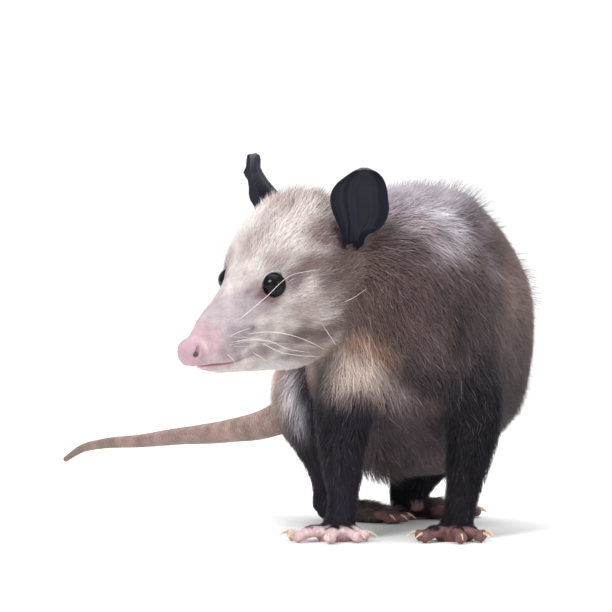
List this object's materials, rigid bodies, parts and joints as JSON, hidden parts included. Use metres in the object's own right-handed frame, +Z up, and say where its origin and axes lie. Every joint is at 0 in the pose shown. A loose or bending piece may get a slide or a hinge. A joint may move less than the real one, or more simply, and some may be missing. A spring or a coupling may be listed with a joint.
{
  "type": "opossum model",
  "caption": "Still, life-size grey opossum standing on four spread feet, head turned to its right, scaly tail held out behind.",
  "frame": {"origin": "centre of the underside of the bounding box, on the floor", "axes": "+Z up, +Y towards the animal's rear, +X to its left; the forefeet point to -Y and the head turns towards -X"},
  "size_m": [0.322, 0.445, 0.2285],
  "materials": {
    "grizzled_fur": "long grizzled grey-brown coat",
    "pale_fur": "short pale fur",
    "black_fur": "black fur",
    "ear_skin": "bare thin blue-black skin",
    "nose_skin": "moist pink skin",
    "paw_skin": "bare wrinkled skin",
    "tail_skin": "finely scaled skin",
    "eye": "glossy black",
    "claw_horn": "translucent horn"
  },
  "bodies": {
    "root": {"claw_forepaw_left_1": "claw_horn", "claw_forepaw_left_2": "claw_horn", "claw_forepaw_left_3": "claw_horn", "claw_forepaw_left_4": "claw_horn", "claw_forepaw_left_5": "claw_horn", "claw_forepaw_right_1": "claw_horn", "claw_forepaw_right_2": "claw_horn", "claw_forepaw_right_3": "claw_horn", "claw_forepaw_right_4": "claw_horn", "claw_forepaw_right_5": "claw_horn", "claw_hindpaw_left_1": "claw_horn", "claw_hindpaw_left_2": "claw_horn", "claw_hindpaw_left_3": "claw_horn", "claw_hindpaw_left_4": "claw_horn", "claw_hindpaw_right_1": "claw_horn", "claw_hindpaw_right_2": "claw_horn", "claw_hindpaw_right_3": "claw_horn", "claw_hindpaw_right_4": "claw_horn", "ear_left": "ear_skin", "ear_right": "ear_skin", "eye_left": "eye", "eye_right": "eye", "foreleg_left": "black_fur", "foreleg_right": "black_fur", "forepaw_left": "paw_skin", "forepaw_right": "paw_skin", "head": "pale_fur", "hindleg_left": "black_fur", "hindleg_right": "black_fur", "hindpaw_left": "paw_skin", "hindpaw_right": "paw_skin", "neck": "grizzled_fur", "nose": "nose_skin", "tail_base": "grizzled_fur", "tail_end": "tail_skin", "tail_mid": "tail_skin", "torso": "grizzled_fur"}
  },
  "joints": []
}
